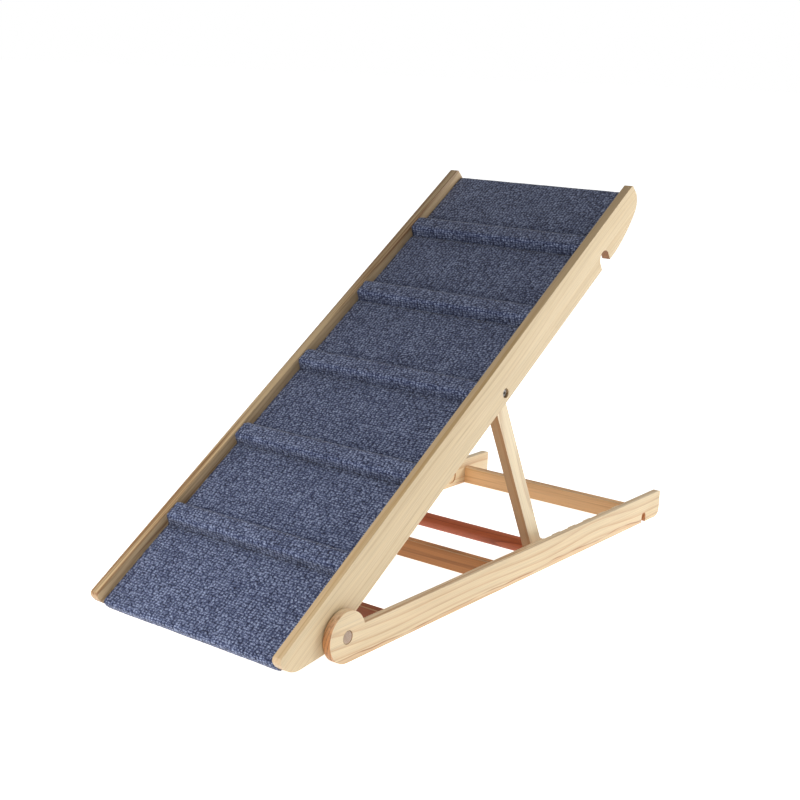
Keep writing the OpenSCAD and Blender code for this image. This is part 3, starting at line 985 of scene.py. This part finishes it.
joints = {joint["name"]: joint for joint in frame["joints"]}
swing_y, swing_z = joints["prop_swing"]["pos_m"][1:]
prop_turn = atan2(foot.z - swing_z, foot.y - swing_y)
prop_frame = Matrix.Translation(Vector((0, swing_y, swing_z))) @ Matrix.Rotation(prop_turn, 4, "X")
leg_points = [prop_frame.inverted() @ v.co for v in frame["nodes"]["prop_leg_right"].data.vertices]
leg_in, leg_out = min(p.x for p in leg_points), max(p.x for p in leg_points)
leg_half = -min(p.y for p in leg_points)
foot_r = max(p.z for p in leg_points)

leg = box_between("prop_leg_right_pine", (leg_in, 0, -leg_half), (leg_out, prop_reach, leg_half))
add_round(leg, leg_in, leg_out, leg_half, 0, 0)
add_round(leg, leg_in, leg_out, foot_r, prop_reach, 0)
ease(leg, LEG_EASE)
drill(leg, leg_in - PAST, leg_out + PAST, BOLT_R + FIT, 0, 0, 32)
drill(leg, leg_in - PAST, leg_out + PAST, foot_bar_r + SNUG, prop_reach, 0)
left_leg = mirrored(leg, "prop_leg_left_pine")
leg_pine = pine("prop_leg_pine", LEG_WOOD, LEG_LINE, ring=0.0048, strength=0.5,
                pith=(0, 0.01, 0.04), edge_painted_light=LEG_EDGE_PAINTED_SHADE)
for piece, side, start in ((leg, "right", (0.7, 0.0, 0.0)), (left_leg, "left", (1.9, 0.003, 0.31))):
    mark_grain(piece, 1, 0, start)
    piece.data.transform(prop_frame)
    finish_piece(piece, "prop", leg_pine, ["prop_leg_" + side])

# The bar is round, so it has no narrow face or arris to be lighter than the rest.
foot_bar = bar_along_x("foot_bar_pine", foot_low.x, foot_high.x, foot_bar_r, foot.y, foot.z, 80)
ease(foot_bar, FOOT_BAR_EASE)
mark_grain(foot_bar, 0, 1, (0, -foot.z, -foot.y))
for mark in ("arris", "narrow_face"):
    foot_bar.data.attributes[mark].data.foreach_set("value", [0.0] * len(foot_bar.data.polygons))
foot_bar_pine = pine("foot_bar_pine", FOOT_BAR_WOOD, FOOT_BAR_LINE, ring=0.0035, strength=0.7,
                     pith=(0, 0.006, 0.012), varnish=0.05)
finish_piece(foot_bar, "prop", foot_bar_pine, ["foot_bar"])

# ---------------------------------------------------------------- hinge bolts
# Zinc-plated furniture bolts with a hexagon socket, sunk in counterbores so that the
# folded rails pass them, each with a washer and a nut inside the leg.
STEEL = (0.66, 0.65, 0.63)
DULL_STEEL = (0.30, 0.28, 0.25)
BOLT_HEAD_R = 0.007
BOLT_HEAD_T = 0.004
BOLT_EASE = 0.0008
SOCKET_R = 0.0027
SOCKET_DEPTH = 0.0025


def make_zinc():
    """Zinc plate with dull stains and fine scuffs across the bolt."""
    material = bpy.data.materials.new("zinc_plate")
    material.use_nodes = True
    tree = material.node_tree
    shader = tree.nodes["Principled BSDF"]
    shader.inputs["Metallic"].default_value = 1.0
    place = tree.nodes.new("ShaderNodeTexCoord").outputs["Object"]
    scuff = noise(tree, place, (900, 2500, 2500), 3.0, 0.6)
    stain = noise(tree, place, (160, 160, 160), 2.0)
    dull = blend_colour(tree, stain, STEEL, DULL_STEEL)
    sparkle = grey_ramp(tree, scuff, [(0.3, 0.7), (0.7, 1.1)])
    wire(tree, blend_colour(tree, 0.5, dull, sparkle, "MULTIPLY"), shader.inputs["Base Color"])
    wire(tree, grey_ramp(tree, scuff, [(0.2, 0.28), (0.8, 0.52)]), shader.inputs["Roughness"])
    bump = tree.nodes.new("ShaderNodeBump")
    bump.inputs["Strength"].default_value = 0.1
    bump.inputs["Distance"].default_value = 0.0002
    wire(tree, scuff, bump.inputs["Height"])
    wire(tree, bump.outputs["Normal"], shader.inputs["Normal"])
    return material


zinc = make_zinc()
head_under = bolt_high.x - BOLT_HEAD_T
bolt = bar_along_x("prop_bolt_right_steel", head_under, bolt_high.x, BOLT_HEAD_R, hinge.y, hinge.z)
ease(bolt, BOLT_EASE)
drill(bolt, bolt_high.x - SOCKET_DEPTH, bolt_high.x + PAST, SOCKET_R, hinge.y, hinge.z, 6)
add_round(bolt, bolt_low.x, head_under + 0.001, BOLT_R, hinge.y, hinge.z, 32)
bolt.data.transform(ramp_frame)
left_bolt = mirrored(bolt, "prop_bolt_left_steel")
for piece, side in ((bolt, "right"), (left_bolt, "left")):
    finish_piece(piece, "ramp", zinc, ["prop_bolt_" + side])
for node in ("prop_washers", "prop_nuts", "batten_screws"):
    repaint(node, zinc)
